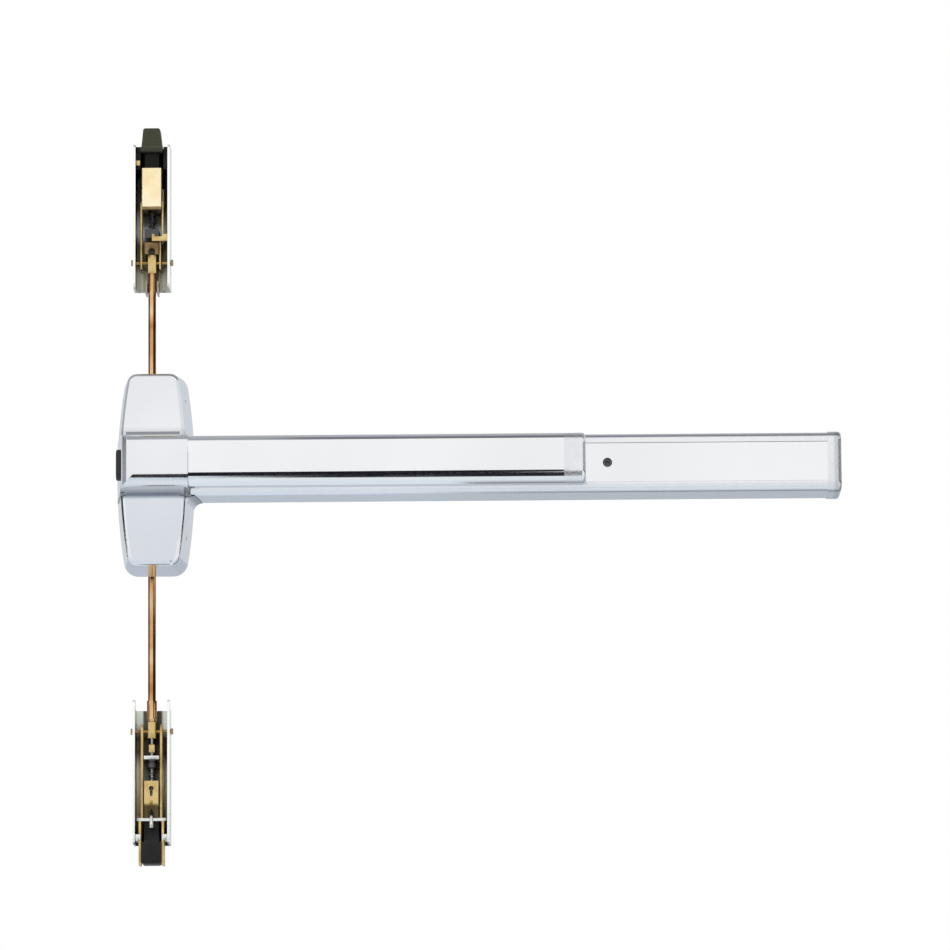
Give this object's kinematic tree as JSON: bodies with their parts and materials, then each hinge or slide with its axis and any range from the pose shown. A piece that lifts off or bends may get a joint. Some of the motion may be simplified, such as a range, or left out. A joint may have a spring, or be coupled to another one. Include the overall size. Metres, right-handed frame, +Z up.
{
  "type": "vertical rod exit device",
  "caption": "Touch-bar exit device with concealed vertical rods: a centre case turns the pad's push into opposite rod strokes that draw the top and bottom bolts.",
  "frame": {"origin": "on the door face, in plan on the rods' axis, at the height of the push bar's centre line, which is also the middle of the chassis screw pattern", "axes": "+X along the push bar away from the rods, +Y into the door, +Z up along the rods"},
  "size_m": [0.7172, 0.135, 0.7407],
  "materials": {
    "satin_chrome": "satin chrome plate",
    "cast_chrome": "satin chrome plate on a casting",
    "black_plastic": "moulded black",
    "black_bolt": "black coated steel",
    "zinc_plate": "bright zinc plate",
    "copper_rod": "copper finish",
    "gold_zinc": "yellow zinc plate",
    "bronze": "dark bronze finish",
    "dark_steel": "black oxide",
    "plated_steel": "zinc plated steel"
  },
  "bodies": {
    "frame": {"case_cover": "satin_chrome", "case_chassis": "plated_steel", "rocker_post": "plated_steel", "lift_guide_posts": "plated_steel", "cover_screws": "dark_steel", "side_plug": "black_plastic", "rail": "satin_chrome", "rail_cover": "satin_chrome", "end_cap": "cast_chrome", "end_cap_bracket": "plated_steel", "end_cap_screws": "plated_steel", "rail_joint_plate": "plated_steel", "linkage_base": "plated_steel", "crank_brackets": "plated_steel", "crank_pins": "dark_steel", "dogging_bracket": "plated_steel", "top_latch_case": "zinc_plate", "top_bolt_guides": "black_plastic", "top_latch_spring": "dark_steel", "top_spring_seat": "dark_steel", "top_stop_block": "gold_zinc", "top_bridge": "bronze", "bottom_latch_case": "zinc_plate", "bottom_spring_seat": "plated_steel", "bottom_spring_cup": "dark_steel", "bottom_latch_spring": "dark_steel", "bottom_bolt_lugs": "plated_steel"},
    "push_pad": {"push_pad": "satin_chrome", "pad_end_cap": "cast_chrome", "pad_brackets": "plated_steel"},
    "crank_left": {"crank_left": "plated_steel"},
    "crank_right": {"crank_right": "plated_steel"},
    "link_bar": {"link_bar": "plated_steel"},
    "rocker": {"rocker": "plated_steel"},
    "upper_train": {"upper_lift": "plated_steel", "upper_rod_nut": "plated_steel", "upper_rod": "copper_rod", "upper_clevis": "gold_zinc", "upper_cross_pin": "gold_zinc", "upper_link_left": "gold_zinc", "upper_link_right": "gold_zinc", "top_carriage": "gold_zinc", "top_carriage_plate": "bronze", "top_stem": "dark_steel", "top_bolt": "black_bolt"},
    "lower_train": {"lower_lift": "plated_steel", "lower_rod_nut": "plated_steel", "lower_rod": "copper_rod", "lower_coupling": "gold_zinc", "lower_cross_pin": "gold_zinc", "lower_links": "gold_zinc", "bottom_stem": "plated_steel", "bottom_stem_nut": "gold_zinc", "bottom_carriage": "gold_zinc", "lower_cross_bar": "plated_steel", "bottom_bolt": "black_bolt", "bolt_straps": "gold_zinc"},
    "dogging_screw": {"dogging_screw": "dark_steel"}
  },
  "joints": [
    {"name": "pad_push", "type": "slide", "parent": "frame", "child": "push_pad", "axis": [0, 1, 0], "range_m": [0, 0.019], "stiffness_N_per_m": 1200, "springref_m": -0.02},
    {"name": "crank_left_turn", "type": "hinge", "parent": "frame", "child": "crank_left", "pos_m": [0.11, -0.0325, 0.0055], "axis": [0, 0, 1], "range_deg": [0, 40]},
    {"name": "crank_right_turn", "type": "hinge", "parent": "frame", "child": "crank_right", "pos_m": [0.33, -0.0325, 0.0055], "axis": [0, 0, 1], "range_deg": [0, 40]},
    {"name": "link_slide", "type": "slide", "parent": "frame", "child": "link_bar", "axis": [-1, 0, 0], "range_m": [0, 0.01368]},
    {"name": "rocker_turn", "type": "hinge", "parent": "frame", "child": "rocker", "pos_m": [0.003, -0.012, 0], "axis": [0, -1, 0], "range_deg": [0, 50]},
    {"name": "upper_rod_slide", "type": "slide", "parent": "frame", "child": "upper_train", "axis": [0, 0, -1], "range_m": [0, 0.017], "deforming": ["top_latch_spring"]},
    {"name": "lower_rod_slide", "type": "slide", "parent": "frame", "child": "lower_train", "axis": [0, 0, 1], "range_m": [0, 0.017], "deforming": ["bottom_latch_spring"]},
    {"name": "dogging_turn", "type": "hinge", "parent": "frame", "child": "dogging_screw", "pos_m": [0.4529, -0.03, 0], "axis": [0, -1, 0], "range_deg": [0, 90]}
  ],
  "couplings": [
    {"joint": "crank_left_turn", "follows": "pad_push", "rad_per_m": 36.744},
    {"joint": "crank_right_turn", "follows": "pad_push", "rad_per_m": 36.744},
    {"joint": "link_slide", "follows": "pad_push", "ratio": 0.72004},
    {"joint": "rocker_turn", "follows": "pad_push", "rad_per_m": 45.93},
    {"joint": "upper_rod_slide", "follows": "pad_push", "ratio": 0.89474},
    {"joint": "lower_rod_slide", "follows": "pad_push", "ratio": 0.89474}
  ]
}
